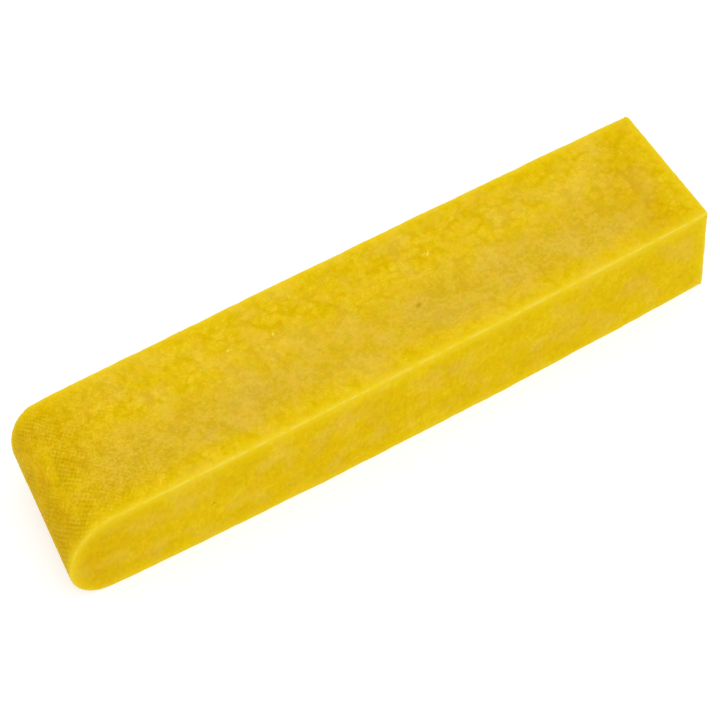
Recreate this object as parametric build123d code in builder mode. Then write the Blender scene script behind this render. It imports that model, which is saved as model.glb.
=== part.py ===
"""Clay bar for car paint: one solid bar of kneadable clay, cut from a cloth-pressed slab.

Frame, in millimetres: +X runs along the bar towards its square cut end, +Z is up, and the
origin is the middle of the box that the bar fits, on the surface that it lies on.
The slab's rim makes the round end at -X. The long sides (-Y and +Y) and the end at +X are
knife cuts, so they bow and lean a little.
"""
from build123d import *
import os

# Driving dimensions.
length = 151.0          # over everything
height = 24.0
half_length = length / 2

# The two knife cuts along the bar: y at the round end, at mid-length and at the square end.
front_foot = (-15.1, -16.8, -15.7)     # bottom edge of the front cut, bowed outwards
front_top = (-15.2, -15.8, -15.0)      # top edge of the front cut, so the face leans out below
back_cut = (16.8, 16.5, 15.3)          # back cut, upright, narrowing towards the square end

# The rim, seen from the front: a tall quarter ellipse rolls off the top face and meets a
# shorter one that rolls under. The rim crosses the bar at a slant, so it stands further in
# at the back. Each outline lies in a plane just outside the bar, as do these nose positions.
rim_half_span = 17.0                   # y distance from the middle to each outline's plane
front_nose_x = -half_length - 0.34     # the worn front edge takes the overhang off again
back_nose_x = front_nose_x + 4.5
front_rim = dict(nose_x=front_nose_x, nose_z=10.1, top_reach=10.6, foot_reach=8.8)
back_rim = dict(nose_x=back_nose_x, nose_z=13.9, top_reach=5.8, foot_reach=9.0)

edge_radius = 0.6       # worn edges round the two long cuts and the square end

blank_overrun = 1.0     # extra length of the blank, trimmed off by the rim
margin = 6.0            # how far the rim's trimming solid runs past the blank


def outside_rim(nose_x, nose_z, top_reach, foot_reach):
    """Closed outline in local (x, z) of everything to the left of the rim."""
    left = nose_x - margin
    foot_x = nose_x + foot_reach
    top_x = nose_x + top_reach
    with BuildLine() as outline:
        EllipticalCenterArc((foot_x, nose_z), foot_reach, nose_z, 180, arc_size=90)
        Polyline(
            (foot_x, 0), (foot_x, -margin), (left, -margin),
            (left, height + margin), (top_x, height + margin), (top_x, height),
        )
        EllipticalCenterArc((top_x, nose_z), top_reach, height - nose_z, 90, arc_size=90)
    return outline.line


def between_cuts(front, back):
    """Closed plan outline in local (x, y) between the two bowed cuts."""
    right = half_length
    left = -half_length - blank_overrun
    with BuildLine() as outline:
        ThreePointArc((left, front[0]), (0, front[1]), (right, front[2]))
        Line((right, front[2]), (right, back[2]))
        ThreePointArc((right, back[2]), (0, back[1]), (left, back[0]))
        Line((left, back[0]), (left, front[0]))
    return outline.line


with BuildPart() as clay_bar:
    # The pressed blank, a little wider than the bar and running on past the rim.
    with BuildSketch(Plane.XY):
        with Locations((half_length, 0)):
            Rectangle(length + blank_overrun, 2 * rim_half_span, align=(Align.MAX, Align.CENTER))
    extrude(amount=height)

    # The two long knife cuts.
    with BuildSketch(Plane.XY) as foot_plan:
        add(between_cuts(front_foot, back_cut))
        make_face()
    with BuildSketch(Plane.XY.offset(height)) as top_plan:
        add(between_cuts(front_top, back_cut))
        make_face()
    loft(sections=[foot_plan.sketch, top_plan.sketch], ruled=True, mode=Mode.INTERSECT)

    # The slab's rim.
    with BuildSketch(Plane.XZ.offset(rim_half_span)) as front_outline:
        add(outside_rim(**front_rim))
        make_face()
    with BuildSketch(Plane.XZ.offset(-rim_half_span)) as back_outline:
        add(outside_rim(**back_rim))
        make_face()
    loft(sections=[front_outline.sketch, back_outline.sketch], ruled=True, mode=Mode.SUBTRACT)

    # Worn edges, round the outlines of the two long cuts and the square end.
    front_face = clay_bar.faces().sort_by(Axis.Y)[0]
    back_face = clay_bar.faces().sort_by(Axis.Y)[-1]
    end_face = clay_bar.faces().sort_by(Axis.X)[-1]
    fillet(front_face.edges() + back_face.edges() + end_face.edges().filter_by(Axis.Y), edge_radius)

print("clay_bar", clay_bar.part.bounding_box(), "volume", round(clay_bar.part.volume), "mm3")

clay_bar.part.label = "clay_bar"
os.makedirs("parts", exist_ok=True)
export_step(clay_bar.part, "parts/clay_bar.step")
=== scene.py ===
"""Looks of the clay bar: one finely meshed bar in the CAD frame, its clay material and a plain studio."""

import math

import bmesh
import bpy
import numpy as np
from mathutils import Matrix, Vector, noise
from mathutils.geometry import delaunay_2d_cdt


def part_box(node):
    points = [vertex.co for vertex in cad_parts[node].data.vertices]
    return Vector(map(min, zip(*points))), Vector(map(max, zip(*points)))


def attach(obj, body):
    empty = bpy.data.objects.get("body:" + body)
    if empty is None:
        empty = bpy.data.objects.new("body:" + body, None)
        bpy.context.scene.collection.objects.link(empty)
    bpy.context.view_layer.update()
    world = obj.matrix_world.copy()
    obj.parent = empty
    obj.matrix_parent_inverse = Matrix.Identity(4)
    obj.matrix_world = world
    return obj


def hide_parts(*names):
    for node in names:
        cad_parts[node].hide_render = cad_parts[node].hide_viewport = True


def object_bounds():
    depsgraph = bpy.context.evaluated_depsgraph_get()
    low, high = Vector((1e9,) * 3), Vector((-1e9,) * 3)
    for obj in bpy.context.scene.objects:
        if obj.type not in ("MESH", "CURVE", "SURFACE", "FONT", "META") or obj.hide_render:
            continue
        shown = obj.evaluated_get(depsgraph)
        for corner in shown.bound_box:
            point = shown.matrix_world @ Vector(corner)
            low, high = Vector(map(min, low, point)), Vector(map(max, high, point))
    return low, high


MM = 0.001
QUARTER = math.pi / 2.0

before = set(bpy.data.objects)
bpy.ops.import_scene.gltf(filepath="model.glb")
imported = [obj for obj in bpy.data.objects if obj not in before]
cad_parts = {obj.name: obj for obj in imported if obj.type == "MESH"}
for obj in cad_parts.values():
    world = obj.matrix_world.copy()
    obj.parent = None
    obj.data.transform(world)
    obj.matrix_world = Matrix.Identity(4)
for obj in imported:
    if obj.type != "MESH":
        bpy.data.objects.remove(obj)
cad_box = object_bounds()

# ---------------------------------------------------------------------------
# The bar's design, in millimetres. Its length and height come from the CAD node.
# ---------------------------------------------------------------------------

node_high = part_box("clay_bar")[1]
half_length = node_high.x / MM
height = node_high.z / MM

# The two long knife cuts: y at the round end, at mid-length and at the square end.
front_foot = (-15.1, -16.8, -15.7)
front_top = (-15.2, -15.8, -15.0)
back_cut = (16.8, 16.5, 15.3)

# The slab's rim at the round end, as outlines at y = -rim_half_span and y = +rim_half_span:
# nose x, nose z, reach of the quarter ellipse above the nose, reach of the one below it.
rim_half_span = 17.0
front_rim = np.array([-half_length - 0.34, 10.1, 10.6, 8.8])
back_rim = np.array([-half_length + 4.16, 13.9, 5.8, 9.0])

end_edge_radius = 0.6

# Mesh steps.
fine_step = 0.21                    # where the cloth left its weave
top_step = 0.44
foot_step = 1.2
end_step = 0.46
cut_step = 0.7
nick_step = 0.16
woven_length = 17.0                 # fine rows run this far past the rim on the top face
low_rim_length = 15.0               # length of the outline from the foot to the nose
high_rim_length = 19.6              # length of the outline from the nose to the top
corner_rows = 4
fine_columns = 148
fine_edge_columns = 8


def smooth(low, high, value):
    """0 below low, 1 above high, and a smooth step between."""
    t = np.clip((value - low) / (high - low), 0.0, 1.0)
    return t * t * (3.0 - 2.0 * t)


def bowed(ends, x):
    """y of a bowed cut at x, through its three given values."""
    t = x / half_length
    start, middle, end = ends
    return middle + 0.5 * (end - start) * t + (0.5 * (start + end) - middle) * t * t


def front_y(x, z):
    share = z / height
    return (1.0 - share) * bowed(front_foot, x) + share * bowed(front_top, x)


def back_y(x, z):
    return bowed(back_cut, x)


def edge_radius(x):
    """The long edges are worn more here and less there."""
    return 0.58 + 0.07 * np.sin(x / 2.3) + 0.07 * np.sin(x / 5.9 + 1.0)


# ---------------------------------------------------------------------------
# The side outline as stations. station(y) gives x, z and the outward normal there.
# ---------------------------------------------------------------------------

def rim_at(y):
    """The rim's four values at each y."""
    share = (np.asarray(y) / rim_half_span + 1.0) / 2.0
    return [(1.0 - share) * a + share * b for a, b in zip(front_rim, back_rim)]


def foot_station(k):
    """k runs from 0 at the square end to 1 where the rim starts."""
    def station(y):
        nose_x, nose_z, top_reach, foot_reach = rim_at(y)
        start = half_length - end_edge_radius
        x = start + (nose_x + foot_reach - start) * k
        return x, 0.0 * x, 0.0 * x, 0.0 * x - 1.0
    return station


def low_rim_station(angle):
    """angle runs from 0 at the foot to 90 degrees at the nose."""
    def station(y):
        nose_x, nose_z, top_reach, foot_reach = rim_at(y)
        x = nose_x + foot_reach * (1.0 - math.sin(angle))
        z = nose_z * (1.0 - math.cos(angle))
        nx = -math.sin(angle) / foot_reach
        nz = -math.cos(angle) / nose_z
        size = np.hypot(nx, nz)
        return x, z, nx / size, nz / size
    return station


def high_rim_station(angle):
    """angle runs from 0 at the nose to 90 degrees at the top face."""
    def station(y):
        nose_x, nose_z, top_reach, foot_reach = rim_at(y)
        x = nose_x + top_reach * (1.0 - math.cos(angle))
        z = nose_z + (height - nose_z) * math.sin(angle)
        nx = -math.cos(angle) / top_reach
        nz = math.sin(angle) / (height - nose_z)
        size = np.hypot(nx, nz)
        return x, z, nx / size, nz / size
    return station


def top_station(k):
    """k runs from 0 where the rim ends to 1 at the square end."""
    def station(y):
        nose_x, nose_z, top_reach, foot_reach = rim_at(y)
        start = nose_x + top_reach
        x = start + (half_length - end_edge_radius - start) * k
        return x, 0.0 * x + height, 0.0 * x, 0.0 * x + 1.0
    return station


def corner_station(angle, centre_z):
    """Round the square end's top or bottom edge; the angle is from +Z, turning towards +X."""
    def station(y):
        flat = 0.0 * np.asarray(y)
        nx = math.sin(angle)
        nz = math.cos(angle)
        x = flat + half_length - end_edge_radius + end_edge_radius * nx
        return x, flat + centre_z + end_edge_radius * nz, flat + nx, flat + nz
    return station


def end_station(k):
    """Down the square end: k runs from 0 at the top to 1 at the bottom."""
    def station(y):
        flat = 0.0 * np.asarray(y)
        top = height - end_edge_radius
        return flat + half_length, flat + top + (end_edge_radius - top) * k, flat + 1.0, flat
    return station


def steps(length, step):
    return max(1, round(length / step))


def rows_of_stations():
    """All stations round the outline, in order: (station, is it fine, is it pressed by the cloth)."""
    rows = []
    flat_length = 2.0 * half_length - front_rim[2]
    woven_share = woven_length / flat_length
    count = steps(flat_length, foot_step)
    rows += [(foot_station(i / count), False, True) for i in range(count)]
    count = steps(low_rim_length, fine_step)
    rows += [(low_rim_station(QUARTER * i / count), True, True) for i in range(count)]
    count = steps(high_rim_length, fine_step)
    rows += [(high_rim_station(QUARTER * i / count), True, True) for i in range(count)]
    count = steps(woven_length, fine_step)
    rows += [(top_station(woven_share * i / count), True, True) for i in range(count)]
    count = steps(flat_length - woven_length, top_step)
    for i in range(count):
        rows.append((top_station(woven_share + (1.0 - woven_share) * i / count), False, True))
    for i in range(corner_rows):
        angle = QUARTER * i / corner_rows
        rows.append((corner_station(angle, height - end_edge_radius), False, False))
    count = steps(height - 2.0 * end_edge_radius, end_step)
    rows += [(end_station(i / count), False, False) for i in range(count)]
    for i in range(corner_rows):
        angle = QUARTER + QUARTER * i / corner_rows
        rows.append((corner_station(angle, end_edge_radius), False, False))
    return rows


# ---------------------------------------------------------------------------
# Columns across the bar: round the front edge, over the flat and round the back edge.
# ---------------------------------------------------------------------------

def columns(edge_count, flat_count):
    """Each column is its share of the width between the edges, its turn round the front edge, and its
    turn round the back edge."""
    cols = [(0.0, QUARTER * (1.0 - i / edge_count), 0.0) for i in range(edge_count)]
    cols += [(i / flat_count, 0.0, 0.0) for i in range(flat_count + 1)]
    cols += [(1.0, 0.0, QUARTER * (i + 1) / edge_count) for i in range(edge_count)]
    return np.array(cols)


def row_points(station, cols):
    """Points of one row, and the turn round the edges at each."""
    share, front_turn, back_turn = cols.T
    y = front_top[1] + (back_cut[1] - front_top[1]) * share
    for _ in range(3):
        x, z, nx, nz = station(y)
        radius = edge_radius(x)
        inner_front = front_y(x, z) + radius
        inner_back = back_y(x, z) - radius
        y = inner_front + (inner_back - inner_front) * share
        y = y - radius * np.sin(front_turn) + radius * np.sin(back_turn)
    inset = radius * (1.0 - np.cos(front_turn) * np.cos(back_turn))
    return np.column_stack([x - inset * nx, y, z - inset * nz]), front_turn + back_turn


def stitch(row_a, row_b):
    """Faces between two rows of vertex indexes: quads if they match, else a zip of triangles."""
    if len(row_a) == len(row_b):
        return [(row_a[i], row_a[i + 1], row_b[i + 1], row_b[i]) for i in range(len(row_a) - 1)]
    faces = []
    a = b = 0
    last_a = len(row_a) - 1
    last_b = len(row_b) - 1
    while a < last_a or b < last_b:
        if b == last_b or (a < last_a and (a + 1) / last_a <= (b + 1) / last_b):
            faces.append((row_a[a], row_a[a + 1], row_b[b]))
            a += 1
        else:
            faces.append((row_a[a], row_b[b + 1], row_b[b]))
            b += 1
    return faces


# A short nick in the front cut: its place, which way it runs, its half length, half width and depth.
nick_x = -43.1
nick_z = 11.8
nick_lean = math.radians(28.0)
nick_half_length = 0.72
nick_half_width = 0.28
nick_depth = 0.45
nick_patch = 1.3                    # the mesh is finer this far round the nick


def nick_gap(points):
    """How far points lie from the nick: 0 at its middle, 1 at its outline."""
    dx = points[:, 0] - nick_x
    dz = points[:, -1] - nick_z
    along = dx * math.cos(nick_lean) + dz * math.sin(nick_lean)
    across = dz * math.cos(nick_lean) - dx * math.sin(nick_lean)
    return np.hypot(along / nick_half_length, across / nick_half_width)


def nick_mark(points):
    """1 in the nick, fading to 0 at its outline."""
    on_front_cut = points[:, 1] < front_y(points[:, 0], points[:, 2]) + 0.1
    return on_front_cut * (1.0 - smooth(0.35, 1.0, nick_gap(points)))


# Small things in the top face, a dark crumb pressed in and small raised grains that carry painted glints:
# x, y, half length, half width and lean.
dark_crumb = (12.45, -3.3, 1.2, 0.8, math.radians(28.0))
crumb_darkness = 0.75               # 1 would be as dark as the nick
glint_grains = [
    (-16.4, 5.9, 0.42, 0.26, math.radians(27.0)),
    (20.8, 6.7, 0.7, 0.28, math.radians(36.0)),
    (-26.0, 7.3, 0.3, 0.25, 0.0),
]


def spot_mark(points, spot):
    """1 at the middle of a spot on the top face, fading to 0 at its outline."""
    x, y, half_long, half_wide, lean = spot
    dx = points[:, 0] - x
    dy = points[:, 1] - y
    along = (dx * math.cos(lean) + dy * math.sin(lean)) / half_long
    across = (dy * math.cos(lean) - dx * math.sin(lean)) / half_wide
    return (points[:, 2] > height - 0.1) * (1.0 - smooth(0.2, 1.0, np.hypot(along, across)))


def lattice(low, high, step):
    """A triangular lattice of points (x, z) over a box."""
    rise = step * math.sqrt(3.0) / 2.0
    rows = []
    for j in range(int((high[1] - low[1]) / rise)):
        x = np.arange(low[0] + step * (0.5 + 0.5 * (j % 2)), high[0], step)
        rows.append(np.column_stack([x, np.full(len(x), low[1] + rise * (j + 0.6))]))
    return np.vstack(rows)


def cap_points(loop, has_nick):
    """Points inside a cut face's outline, kept clear of the outline, and closer together at the nick."""
    points = lattice(loop.min(0), loop.max(0), cut_step)
    clear = np.array([np.hypot(*(loop - p).T).min() for p in points])
    points = points[clear > 0.5 * cut_step]
    if has_nick:
        place = np.array([nick_x, nick_z])
        points = points[np.hypot(*(points - place).T) > nick_patch]
        patch = lattice(place - nick_patch, place + nick_patch, nick_step)
        points = np.vstack([points, patch[np.hypot(*(patch - place).T) < nick_patch]])
    return points


def cap(loop_indexes, points, surface_y, has_nick):
    """Triangulates a cut face. Returns its new points and its faces."""
    loop = points[loop_indexes][:, [0, 2]]
    flat = [Vector(p) for p in np.vstack([loop, cap_points(loop, has_nick)])]
    ring = list(range(len(loop)))
    result = delaunay_2d_cdt(flat, [], [ring], 1, 1e-6)
    coords, faces, sources = result[0], result[2], result[3]
    index = {}
    new_points = []
    for i in sorted({i for face in faces for i in face}):
        place = coords[i]
        if sources[i] and sources[i][0] < len(loop):
            index[i] = loop_indexes[sources[i][0]]
        else:
            index[i] = len(points) + len(new_points)
            new_points.append((place.x, float(surface_y(place.x, place.y)), place.y))
    return np.array(new_points), [tuple(index[i] for i in face) for face in faces]


def sweep():
    """The rows of points round the bar. Returns the rows as vertex indexes, the points, and at each point
    how squarely the cloth pressed it, how far round an edge it is and how far along the outline."""
    fine = columns(fine_edge_columns, fine_columns)
    coarse = columns(fine_edge_columns // 2, fine_columns // 2)
    rows = []
    points = []
    pressed = []
    turns = []
    travel = []
    along = 0.0
    total = 0
    previous = None
    for station, is_fine, is_pressed in rows_of_stations():
        row, turn = row_points(station, fine if is_fine else coarse)
        middle = row[len(row) // 2]
        if previous is not None:
            along += float(np.linalg.norm(middle - previous))
        previous = middle
        rows.append(list(range(total, total + len(row))))
        points.append(row)
        pressed.append(np.cos(turn) if is_pressed else 0.0 * turn)
        turns.append(turn)
        travel.append(np.full(len(row), along))
        total += len(row)
    return rows, np.vstack(points), [np.concatenate(part) for part in (pressed, turns, travel)]


def build_bar():
    """Points and faces of the smooth bar, and the three values that sweep() gives at each point,
    which are 0 inside the two cuts."""
    rows, points, marks = sweep()
    faces = []
    for i, row in enumerate(rows):
        faces += stitch(row, rows[(i + 1) % len(rows)])
    swept_count = len(points)
    for side, surface_y in ((0, front_y), (-1, back_y)):
        loop = [row[side] for row in rows]
        extra, cap_faces = cap(loop, points, surface_y, has_nick=side == 0)
        points = np.vstack([points, extra])
        faces += cap_faces
    inside_cuts = np.zeros(len(points) - swept_count)
    pressed, turns, travel = [np.concatenate([values, inside_cuts]) for values in marks]
    return points, faces, pressed, turns, travel


# ---------------------------------------------------------------------------
# Relief: how far each point sinks below the smooth design, in millimetres.
# ---------------------------------------------------------------------------

weave_pitch = 0.87
weave_turn = math.radians(44.0)
weave_depth = 0.15
weave_fade = (-74.0, -52.0)         # the weave fades out between these x on the top face,
weave_end = (-50.0, -47.5)          # is gone by the second of these,
weave_foot = (0.3, 2.5)             # and fades out between these z, low on the rim
grain_depth = 0.05
crease_depth = 0.05
drag_depth = 0.06
swell_depth = 0.09
ripple_depth = 0.05
crumb_depth = 0.12
wear_depth = 0.09
wear_reach = 0.9                    # how far from a sharp edge its small dents go


def field(points, size, octaves, shift):
    """Fractal noise of about -1 to 1 with features of the given size."""
    move = Vector((shift, -2.0 * shift, 3.0 * shift))
    return np.array([
        noise.fractal(Vector(p) + move, 1.0, 2.0, octaves) for p in points / size
    ])


def creases(points, size, shift):
    """1 in the seams between pressed-together grains, 0 inside them."""
    move = Vector((shift, -2.0 * shift, 3.0 * shift))
    gaps = []
    for p in points / size:
        distances = noise.voronoi(Vector(p) + move)[0]
        gaps.append(distances[1] - distances[0])
    return 1.0 - smooth(0.0, 0.28, np.array(gaps))


def weave(travel, across, wander):
    """Height of a plain weave from 0 to 1. The cloth lay on the bias, slightly out of true."""
    a = (travel * math.cos(weave_turn) + across * math.sin(weave_turn)) / weave_pitch + wander
    b = (across * math.cos(weave_turn) - travel * math.sin(weave_turn)) / weave_pitch - wander
    over = 0.3 * np.cos(math.pi * a) * np.cos(math.pi * b)
    warp = (0.5 + 0.5 * np.cos(2.0 * math.pi * a)) * (0.8 + over)
    weft = (0.5 + 0.5 * np.cos(2.0 * math.pi * b)) * (0.6 - over)
    return np.maximum(warp, weft)


def cloth_mark(points, pressed, travel):
    """How strong the cloth's weave is at each point, and the weave's groove there, 0 to 1."""
    x, y, z = points.T
    patchy = field(points, 6.0, 2, 17.2)
    fade = 1.0 - smooth(*weave_fade, x + 5.0 * patchy)
    fade = fade * (1.0 - smooth(*weave_end, x)) * smooth(*weave_foot, z)
    strength = pressed * fade * smooth(-0.7, 0.4, patchy)
    wander = 0.45 * field(points, 6.0, 2, 23.0)
    return strength, 1.0 - weave(travel, y, wander)


def wrap_depth(points):
    """How far inside the top, rim and foot each point lies, roughly."""
    x, y, z = points.T
    nose_x, nose_z, top_reach, foot_reach = rim_at(y)
    above = z > nose_z
    reach = np.where(above, top_reach, foot_reach)
    rise = np.where(above, height - nose_z, nose_z)
    back = np.maximum(nose_x + reach - x, 0.0) / reach
    up = np.abs(z - nose_z) / rise
    return (1.0 - np.hypot(back, up)) * np.minimum(reach, rise)


def edge_distance(points):
    """Distance from each surface point to the nearest sharp edge."""
    x, y, z = points.T
    depths = [wrap_depth(points), y - front_y(x, z), back_y(x, z) - y, half_length - x]
    return np.maximum(np.sort(depths, axis=0)[1], 0.0)


def edge_wear(points):
    """Small dents along the sharp edges: 0 for none, 1 for the deepest."""
    near = 1.0 - smooth(0.2, wear_reach, edge_distance(points))
    return near * smooth(-0.2, 0.8, field(points, 2.6, 2, 37.0))


def sink(points, pressed, woven, groove):
    """Total sink below the design at each point."""
    swell = 0.5 + 0.5 * field(points, 14.0, 2, 3.1)
    ripple = 0.5 + 0.5 * field(points, 3.5, 2, 7.7)
    grain = 0.5 + 0.5 * field(points, 1.1, 2, 11.3)
    seam = creases(points, 2.3, 5.9)
    drag = 0.5 + 0.5 * field(points / np.array([1.0, 1.0, 4.0]), 1.6, 2, 13.9)
    lumps = grain_depth * grain + crease_depth * seam
    depth = swell_depth * swell + ripple_depth * ripple
    depth += pressed * (1.0 - 0.7 * woven) * lumps
    depth += (1.0 - pressed) * drag_depth * drag
    depth += weave_depth * woven * groove
    depth += wear_depth * edge_wear(points)
    depth += nick_depth * nick_mark(points)
    depth += crumb_depth * spot_mark(points, dark_crumb)
    for glint_grain in glint_grains:
        depth -= grain_depth * spot_mark(points, glint_grain)
    return np.maximum(depth, 0.0)


# ---------------------------------------------------------------------------
# Where the colour changes over the bar
# ---------------------------------------------------------------------------

# Each pair is where a change starts and where it is complete, in millimetres.
# The dull band is a painted sheen: a greyer veil of reflected light on the top.
dull_front = (-12.9, -8.0)          # y of the dull band's front side
dull_back = (-4.5, 5.5)             # y of its back side
dull_start = (-68.0, -59.0)         # x of its end towards the round end
dull_end = (54.0, 65.0)             # x of its end towards the square end
lull_x = -3.0                       # it is weaker here,
lull_reach = 12.0                   # and about this far to each side
lull_strength = 0.35
deep_start = (56.0, 64.0)           # x where the deeper patch near the square end begins
deep_end = (67.0, 73.0)             # x where it ends
deep_back = (2.0, 12.0)             # y where it ends
rim_patch_end = (-64.0, -50.0)      # x where the deeper patch near the rim ends
rim_patch_front = (-3.0, 2.0)       # y where it begins
# The rim's deeper colour is painted shade, where the rim turns away from the light.
rim_top = (19.5, 23.4)              # z where the rim's deeper colour ends
rim_end = (-66.0, -52.0)            # x where it ends
cut_patch_end = (-66.0, -48.0)      # x where the deeper patch beside the rim ends, on the cuts
scuff_end = (-66.0, -38.0)          # x where the round end's roughness has faded
# The pale line on the edges is a painted highlight.
ridge_end = (-66.0, -40.0)          # x from where the pale line on the edges is at its strongest


def painted_sheen_band(points, pressed):
    """Where a painted sheen, a greyer veil of reflected light, dulls the cloth side: a band along its front
    half, weakest at mid-length.
    """
    x, y, z = points.T
    wander = 2.0 * field(points, 12.0, 2, 31.0)
    band = smooth(*dull_front, y + 0.4 * wander) * (1.0 - smooth(*dull_back, y + wander))
    reach = smooth(*dull_start, x + wander) * (1.0 - smooth(*dull_end, x + wander))
    lull = 1.0 - lull_strength * np.exp(-((x - lull_x) / lull_reach) ** 2)
    return pressed * band * reach * lull


def deepened_and_rim_shade(points, pressed):
    """Where the colour is deeper: the clay's own colour near the square end, near the rim and on the cuts
    beside the rim, and painted shade on the rim below its top, where it turns away from the light."""
    x, y, z = points.T
    wander = 1.5 * field(points, 9.0, 2, 47.0)
    near_end = smooth(*deep_start, x + wander) * (1.0 - smooth(*deep_end, x + 0.5 * wander))
    near_end = 0.65 * near_end * (1.0 - smooth(*deep_back, y + wander))
    near_rim = 1.0 - smooth(*rim_patch_end, x + wander)
    near_rim = 0.35 * near_rim * smooth(*rim_patch_front, y + wander)
    rim_shade = (1.0 - smooth(*rim_top, z + 0.4 * wander)) * (1.0 - smooth(*rim_end, x))
    beside = 0.4 * (1.0 - smooth(*cut_patch_end, x + wander))
    on_cloth_side = np.maximum(near_end, np.maximum(near_rim, rim_shade))
    return pressed * on_cloth_side + (1.0 - pressed) * beside


def scuffed(points, pressed):
    """How rough the cloth side is: most towards the round end."""
    wander = 4.0 * field(points, 9.0, 2, 53.0)
    return pressed * (1.0 - 0.7 * smooth(*scuff_end, points[:, 0] + wander))


def ridge_highlight_strength(points, turns):
    """How strong the painted highlight, a pale line along the long edges, is: strongest half way round an
    edge.
    """
    return np.sin(2.0 * turns) * (0.4 + 0.6 * smooth(*ridge_end, points[:, 0]))


def nick_shade_and_crumb(points):
    """Painted shade in the nick, and the crumb's own dark colour in the top."""
    return np.maximum(nick_mark(points), crumb_darkness * spot_mark(points, dark_crumb))


# ---------------------------------------------------------------------------
# The piece
# ---------------------------------------------------------------------------

def make_mesh(name, points, faces):
    """A mesh in metres whose faces all look outwards."""
    mesh = bpy.data.meshes.new(name)
    mesh.from_pydata((points * MM).tolist(), [], faces)
    shell = bmesh.new()
    shell.from_mesh(mesh)
    # The rows that meet at the cut faces' corners leave small slivers open there.
    bmesh.ops.holes_fill(shell, edges=shell.edges, sides=4)
    bmesh.ops.recalc_face_normals(shell, faces=shell.faces)
    shell.to_mesh(mesh)
    shell.free()
    return mesh


def normals_of(mesh):
    """The smooth normal at each point."""
    normals = np.zeros(len(mesh.vertices) * 3, np.float32)
    mesh.vertex_normals.foreach_get("vector", normals)
    return normals.reshape(-1, 3)


def store(mesh, name, values):
    """Keeps a value at each point, for the material to read."""
    attribute = mesh.attributes.new(name, "FLOAT", "POINT")
    attribute.data.foreach_set("value", np.asarray(values, np.float32))


def make_bar():
    """The bar with its relief and with everything its material reads."""
    points, faces, pressed, turns, travel = build_bar()
    mesh = make_mesh("clay_bar_body", points, faces)
    woven, groove = cloth_mark(points, pressed, travel)
    moved = points - normals_of(mesh) * sink(points, pressed, woven, groove)[:, None]
    low = np.array(cad_box[0]) / MM
    high = np.array(cad_box[1]) / MM
    moved = np.clip(moved, low, high)
    mesh.vertices.foreach_set("co", (moved * MM).astype(np.float32).ravel())
    mesh.update()
    store(mesh, "pressed", pressed)
    # The weave's grooves, which the material also darkens as painted shade.
    store(mesh, "groove", woven * groove)
    # Where the painted highlight runs along the rounded edges, and how far each point is from an edge, for
    # the painted glow.
    store(mesh, "ridge_highlight", ridge_highlight_strength(points, turns))
    store(mesh, "edge", edge_distance(points))
    # Where the painted sheen lies on the top.
    store(mesh, "painted_sheen_band", painted_sheen_band(points, pressed))
    # Deeper clay, and painted shade on the rim.
    store(mesh, "deepened_and_rim_shade", deepened_and_rim_shade(points, pressed))
    store(mesh, "scuffed", scuffed(points, pressed))
    # Painted shade in the nick, and the dark crumb.
    store(mesh, "dark", nick_shade_and_crumb(points))
    # Painted glints on the small raised grains.
    store(mesh, "glint", sum(spot_mark(points, glint_grain) for glint_grain in glint_grains))
    mesh.shade_smooth()
    bar = bpy.data.objects.new("clay_bar_body", mesh)
    bpy.context.scene.collection.objects.link(bar)
    return bar


# ---------------------------------------------------------------------------
# Materials
# ---------------------------------------------------------------------------

class Nodes:
    """Small helper for laying out a material's node tree."""

    def __init__(self, name):
        self.material = bpy.data.materials.new(name)
        self.material.use_nodes = True
        self.tree = self.material.node_tree
        self.tree.nodes.clear()

    def fill(self, socket, value):
        """Sets a socket to a number, vector or colour, or links an output to it."""
        if isinstance(value, bpy.types.NodeSocket):
            self.tree.links.new(value, socket)
        elif socket.type == "RGBA":
            socket.default_value = (*value, 1.0)
        else:
            socket.default_value = value

    def add(self, kind, inputs, **settings):
        node = self.tree.nodes.new(kind)
        for name, value in settings.items():
            setattr(node, name, value)
        for key, value in inputs.items():
            self.fill(node.inputs[key], value)
        return node

    def attribute(self, name):
        return self.add("ShaderNodeAttribute", {}, attribute_name=name).outputs["Fac"]

    def math(self, operation, a, b):
        return self.add("ShaderNodeMath", {0: a, 1: b}, operation=operation).outputs[0]

    def vector(self, operation, a, b):
        return self.add("ShaderNodeVectorMath", {0: a, 1: b}, operation=operation).outputs[0]

    def noise(self, place, size, detail, output="Fac"):
        """Noise with features of the given size, where place is in millimetres."""
        inputs = {"Vector": place, "Scale": 1.0 / size, "Detail": detail}
        return self.add("ShaderNodeTexNoise", inputs).outputs[output]

    def cells(self, place, size, feature, output):
        inputs = {"Vector": place, "Scale": 1.0 / size}
        return self.add("ShaderNodeTexVoronoi", inputs, feature=feature).outputs[output]

    def remap(self, value, low, high, to_low=0.0, to_high=1.0):
        inputs = {"Value": value, "From Min": low, "From Max": high, "To Min": to_low, "To Max": to_high}
        return self.add("ShaderNodeMapRange", inputs, interpolation_type="SMOOTHSTEP").outputs[0]

    def mix(self, factor, a, b, blend="MIX"):
        inputs = {0: factor, 6: a, 7: b}
        return self.add("ShaderNodeMix", inputs, data_type="RGBA", blend_type=blend).outputs[2]

    def blend(self, weights):
        """Adds up (weight, value) pairs."""
        total = 0.0
        for weight, value in weights:
            part = self.math("MULTIPLY", value, weight)
            total = self.math("ADD", part, total)
        return total

    def finish(self, shader):
        out = self.add("ShaderNodeOutputMaterial", {"Surface": shader.outputs[0]})
        out.is_active_output = True
        return self.material


# Linear colours of the cloth side, from its seams to its palest grains, and of its warmer patches and pits.
deep = (0.616, 0.406, 0.0)
yellow = (0.677, 0.458, 0.003)
pale = (0.735, 0.512, 0.018)
warm = (0.710, 0.466, 0.022)
pit_colour = (0.575, 0.365, 0.0)

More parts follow.
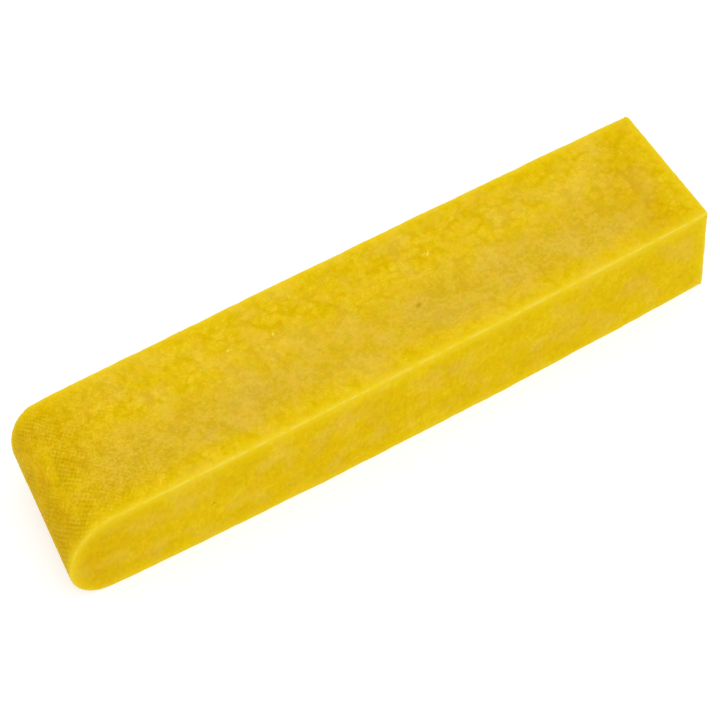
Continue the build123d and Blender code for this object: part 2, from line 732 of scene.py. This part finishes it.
# The dull band, a painted sheen of reflected light, and what the colour is multiplied by where the round
# end is scuffed.
sheen_deep = (0.570, 0.373, 0.010)
sheen_pale = (0.650, 0.434, 0.028)
scuff_dark = (0.93, 0.917, 0.70)
scuff_pale = (1.067, 1.075, 1.29)

# Tints over the whole bar: the first three are multiplied with the colour, and the milk is added.
deepening_tint = (0.905, 0.830, 0.40)
golden_tint = (1.010, 0.981, 0.92)
lemon_tint = (0.989, 1.015, 1.0)
milk = (0.009, 0.006, 0.019)

# The cuts, a little deeper than the cloth side: partly the clay's own colour and partly painted shade on
# these upright faces.
cut_deep = (0.608, 0.384, 0.0)
cut_yellow = (0.652, 0.430, 0.0)
cut_pale = (0.704, 0.482, 0.006)

# The edges: a painted glow of light through the clay near them, and a painted highlight along each rounded
# edge.
painted_edge_glow = (0.740, 0.542, 0.001)
painted_edge_pale = (0.725, 0.558, 0.024)
painted_ridge_highlight = (0.710, 0.560, 0.110)

# Painted shade in the cloth's grooves and in the nick, the crumb's own dark colour, and painted glints on
# the small raised grains.
painted_groove_shade = (0.440, 0.260, 0.002)
dark_colour = (0.360, 0.215, 0.0)
glint_colour = (0.92, 0.74, 0.12)

bump_strength = 0.25
bump_depth = 0.05                   # millimetres
specular_level = 0.01
subsurface_weight = 0.45
subsurface_radius = (1.0, 0.7, 0.1)
subsurface_scale = 2.2              # millimetres


def clay_place(nodes):
    """Object coordinates in millimetres."""
    place = nodes.add("ShaderNodeTexCoord", {}).outputs["Object"]
    return nodes.vector("MULTIPLY", place, (1.0 / MM,) * 3)


def drifted(nodes, place, size, reach):
    """Coordinates pushed about by noise, so that grains aren't regular."""
    push = nodes.vector("SUBTRACT", nodes.noise(place, size, 2.0, "Color"), (0.5,) * 3)
    return nodes.vector("ADD", place, nodes.vector("MULTIPLY", push, (reach,) * 3))


def pressed_tone(nodes, place):
    """Light and dark of the cloth side, about 0 to 1: soft grains pressed together, in soft clouds."""
    grainy = drifted(nodes, place, 2.2, 2.0)
    grains = nodes.remap(nodes.cells(grainy, 1.7, "F1", "Distance"), 0.40, 0.90, 1.0, 0.0)
    tone = nodes.blend([
        (0.14, grains),
        (0.29, nodes.noise(place, 0.45, 2.0)),
        (0.26, nodes.noise(place, 1.1, 1.0)),
        (0.17, nodes.noise(place, 3.2, 1.0)),
        (0.14, nodes.noise(place, 9.0, 1.0)),
    ])
    return tone, grains


def pressed_colour(nodes, place):
    """The colour of the cloth side. Returns colour and grains."""
    tone, grains = pressed_tone(nodes, place)
    colour = nodes.mix(nodes.remap(tone, 0.43, 0.545), deep, yellow)
    colour = nodes.mix(nodes.remap(tone, 0.545, 0.66), colour, pale)
    warmth = nodes.remap(nodes.noise(place, 3.6, 2.0), 0.48, 0.68, 0.0, 0.45)
    colour = nodes.mix(warmth, colour, warm)
    pits = nodes.remap(nodes.noise(place, 1.3, 1.0), 0.60, 0.75, 0.0, 0.4)
    colour = nodes.mix(pits, colour, pit_colour)
    # Painted sheen: a duller, greyer veil of reflected light along the front half of the top.
    sheen_tone = nodes.blend([(0.6, nodes.noise(place, 1.0, 3.0)), (0.4, nodes.noise(place, 3.6, 1.0))])
    sheen_colour = nodes.mix(nodes.remap(sheen_tone, 0.40, 0.60), sheen_deep, sheen_pale)
    patchy = nodes.remap(nodes.noise(place, 2.0, 4.0), 0.35, 0.60, 0.70, 1.0)
    sheen_amount = nodes.math("MULTIPLY", nodes.attribute("painted_sheen_band"), patchy)
    colour = nodes.mix(sheen_amount, colour, sheen_colour)
    scuffs = nodes.mix(nodes.remap(nodes.noise(place, 0.5, 4.0), 0.38, 0.62), scuff_dark, scuff_pale)
    return nodes.mix(nodes.attribute("scuffed"), colour, scuffs, "MULTIPLY"), grains


def cut_colour(nodes, place):
    """The cut sides: soft clouds drawn out along the bar, and finer marks drawn out upwards."""
    long_place = nodes.vector("MULTIPLY", place, (0.6, 1.0, 1.0))
    tall_place = nodes.vector("MULTIPLY", place, (1.0, 1.0, 0.6))
    tone = nodes.blend([
        (0.26, nodes.noise(long_place, 6.0, 1.0)),
        (0.20, nodes.noise(place, 2.2, 1.0)),
        (0.36, nodes.noise(tall_place, 0.9, 1.0)),
        (0.18, nodes.noise(tall_place, 0.45, 2.0)),
    ])
    # The cut colours are a little deeper: partly the clay's own colour, partly painted shade.
    colour = nodes.mix(nodes.remap(tone, 0.38, 0.50), cut_deep, cut_yellow)
    return nodes.mix(nodes.remap(tone, 0.50, 0.64), colour, cut_pale)


def tinted(nodes, place, colour):
    """Soft patches that lean to gold or to lemon, milkier patches, deeper clay, and painted shade on the
    rim.
    """
    apart = nodes.vector("ADD", place, (31.0, 17.0, 43.0))
    lean = nodes.remap(nodes.noise(apart, 2.8, 2.0), 0.36, 0.64)
    colour = nodes.mix(1.0, colour, nodes.mix(lean, golden_tint, lemon_tint), "MULTIPLY")
    clear = nodes.remap(nodes.attribute("scuffed"), 0.3, 1.0, 1.0, 0.1)
    milky = nodes.math("MULTIPLY", nodes.remap(nodes.noise(apart, 7.0, 3.0), 0.44, 0.68), clear)
    colour = nodes.mix(milky, colour, milk, "ADD")
    # Deeper clay, and painted shade on the rim.
    return nodes.mix(nodes.attribute("deepened_and_rim_shade"), colour, deepening_tint, "MULTIPLY")


def edge_glow_and_highlight(nodes, place, colour):
    """Painted glow of light through the clay towards the edges, and a painted highlight, a pale, broken
    line along each edge itself.
    """
    edge = nodes.attribute("edge")
    colour = nodes.mix(nodes.remap(edge, 0.0, 4.5, 0.40, 0.0), colour, painted_edge_glow)
    colour = nodes.mix(nodes.remap(edge, 0.0, 2.2, 0.50, 0.0), colour, painted_edge_pale)
    broken = nodes.remap(nodes.noise(place, 1.8, 2.0), 0.35, 0.62, 0.0, 0.60)
    return nodes.mix(nodes.math("MULTIPLY", nodes.attribute("ridge_highlight"), broken), colour, painted_ridge_highlight)


def clay_colour(nodes, place, pressed):
    """The base colour of the whole bar. Returns colour and grains."""
    cloth_side, grains = pressed_colour(nodes, place)
    colour = tinted(nodes, place, nodes.mix(pressed, cut_colour(nodes, place), cloth_side))
    # Painted shade in the cloth's grooves.
    colour = nodes.mix(nodes.math("MULTIPLY", nodes.attribute("groove"), 0.90), colour, painted_groove_shade)
    colour = edge_glow_and_highlight(nodes, place, colour)
    # Painted shade in the nick, and the crumb's own dark colour.
    colour = nodes.mix(nodes.math("MULTIPLY", nodes.attribute("dark"), 0.9), colour, dark_colour)
    # Painted glints.
    return nodes.mix(nodes.math("MULTIPLY", nodes.attribute("glint"), 0.9), colour, glint_colour), grains


def clay_material():
    """The bar's one material."""
    nodes = Nodes("clay")
    place = clay_place(nodes)
    pressed = nodes.attribute("pressed")
    colour, grains = clay_colour(nodes, place, pressed)
    fineness = nodes.remap(pressed, 0.0, 1.0, 0.4, 1.0)
    relief = nodes.blend([
        (0.6, nodes.math("MULTIPLY", nodes.noise(place, 0.4, 3.0), fineness)),
        (0.4, nodes.math("MULTIPLY", grains, pressed)),
    ])
    bump = nodes.add("ShaderNodeBump", {
        "Strength": bump_strength,
        "Distance": bump_depth * MM,
        "Height": relief,
    })
    shader = nodes.add("ShaderNodeBsdfPrincipled", {
        "Base Color": colour,
        "Roughness": nodes.remap(nodes.noise(place, 1.5, 2.0), 0.3, 0.7, 0.44, 0.6),
        "Specular IOR Level": specular_level,
        "Subsurface Weight": subsurface_weight,
        "Subsurface Radius": subsurface_radius,
        "Subsurface Scale": subsurface_scale * MM,
        "Normal": bump.outputs["Normal"],
    })
    return nodes.finish(shader)


def floor_material():
    """A pale table that is also lit from below, so that shadows on it stay faint."""
    nodes = Nodes("pale_floor")
    inputs = {
        "Base Color": (0.50, 0.50, 0.50),
        "Roughness": 0.8,
        "Specular IOR Level": 0.2,
        "Emission Color": (1.0, 1.0, 1.0),
        "Emission Strength": 0.56,
    }
    return nodes.finish(nodes.add("ShaderNodeBsdfPrincipled", inputs))


# ---------------------------------------------------------------------------
# Studio
# ---------------------------------------------------------------------------

# Angles in degrees: azimuth turns from the front cut towards the square end. Distances in metres.
camera_azimuth = -31.24
camera_elevation = 55.25
camera_roll = -0.37
camera_distance = 0.8
camera_lens = 196.31
camera_aim = Vector((-0.17, -1.13, 11.27)) * MM
light_distance = 1.2
floor_half_width = 3.0
world_strength = 0.93


def facing(azimuth, elevation):
    """The direction from the bar towards a camera or light."""
    azimuth = math.radians(azimuth)
    elevation = math.radians(elevation)
    flat = math.cos(elevation)
    return Vector((math.sin(azimuth) * flat, -math.cos(azimuth) * flat, math.sin(elevation)))


def looking_back(direction):
    """A rotation that looks down the direction, back at the bar."""
    return direction.to_track_quat("Z", "Y").to_matrix().to_4x4()


def make_camera():
    """A long lens that looks down at the bar from in front of its round end."""
    direction = facing(camera_azimuth, camera_elevation)
    data = bpy.data.cameras.new("camera")
    data.lens = camera_lens
    data.sensor_width = 36.0
    data.clip_start = 0.01
    camera = bpy.data.objects.new("camera", data)
    roll = Matrix.Rotation(math.radians(camera_roll), 4, "Z")
    place = Matrix.Translation(camera_aim + direction * camera_distance)
    camera.matrix_world = place @ looking_back(direction) @ roll
    bpy.context.scene.collection.objects.link(camera)
    bpy.context.scene.camera = camera


def make_light(name, azimuth, elevation, size, power):
    """A round soft light that faces the bar."""
    direction = facing(azimuth, elevation)
    data = bpy.data.lights.new(name, "AREA")
    data.shape = "DISK"
    data.size = size
    data.energy = power
    light = bpy.data.objects.new(name, data)
    light.matrix_world = Matrix.Translation(direction * light_distance) @ looking_back(direction)
    bpy.context.scene.collection.objects.link(light)


def make_floor():
    """A plain floor that the bar stands on."""
    half = floor_half_width
    mesh = bpy.data.meshes.new("floor")
    corners = [(-half, -half, 0), (half, -half, 0), (half, half, 0), (-half, half, 0)]
    mesh.from_pydata(corners, [], [(0, 1, 2, 3)])
    mesh.materials.append(floor_material())
    floor = bpy.data.objects.new("floor", mesh)
    bpy.context.scene.collection.objects.link(floor)


def make_studio():
    """White surroundings, one key light and the floor."""
    world = bpy.data.worlds.new("studio")
    world.use_nodes = True
    background = world.node_tree.nodes["Background"]
    background.inputs["Color"].default_value = (1.0, 1.0, 1.0, 1.0)
    background.inputs["Strength"].default_value = world_strength
    bpy.context.scene.world = world
    bpy.context.scene.view_settings.view_transform = "Standard"
    make_light("key", azimuth=-8.0, elevation=70.0, size=1.2, power=4.8)
    make_floor()


bar = make_bar()
bar.data.materials.append(clay_material())
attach(bar, "root")
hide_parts("clay_bar")
make_camera()
make_studio()
